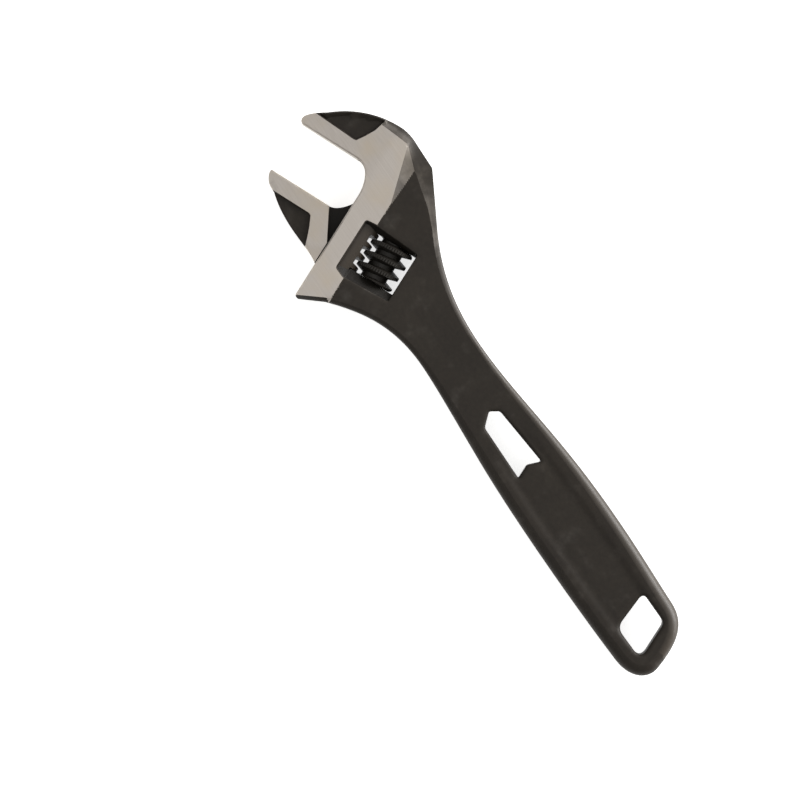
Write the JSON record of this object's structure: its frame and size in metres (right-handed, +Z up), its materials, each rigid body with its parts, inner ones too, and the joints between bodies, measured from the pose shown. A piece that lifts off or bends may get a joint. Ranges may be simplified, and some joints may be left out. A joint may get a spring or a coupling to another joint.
{
  "type": "adjustable wrench",
  "caption": "Short adjustable wrench with slim wide-opening jaws, a thumb knurl that drives a toothed movable jaw, a sunk panel in the handle and a hanging hole.",
  "frame": {"origin": "under the middle of the bounding box, in the plane the wrench lies on", "axes": "+X along the handle from the head to the hanging hole, +Y across the width towards the fixed jaw's crown, +Z up through the thickness"},
  "size_m": [0.1576, 0.0448, 0.0108],
  "materials": {
    "forged_body": "black phosphate, matt, with the land and jaw faces ground bright",
    "forged_jaw": "ground bright on the raised faces, black phosphate in the pockets",
    "knurl_steel": "black oxide, satin",
    "pin_steel": "black oxide, turned",
    "spring_steel": "plain drawn wire"
  },
  "bodies": {
    "frame": {"body": "forged_body", "knurl_pin": "pin_steel", "knurl_spring": "spring_steel"},
    "jaw": {"movable_jaw": "forged_jaw"},
    "worm": {"knurl": "knurl_steel"}
  },
  "joints": [
    {"name": "jaw_slide", "type": "slide", "parent": "frame", "child": "jaw", "axis": [-0.3827, 0.9239, 0], "range_m": [-0.0124, 0.01317]},
    {"name": "knurl_spin", "type": "hinge", "parent": "frame", "child": "worm", "pos_m": [-0.0391, -0.0006, 0.0054], "axis": [-0.3827, 0.9239, 0], "range_deg": [-1531, 1441]}
  ],
  "couplings": [
    {"joint": "knurl_spin", "follows": "jaw_slide", "rad_per_m": -2026.8}
  ]
}
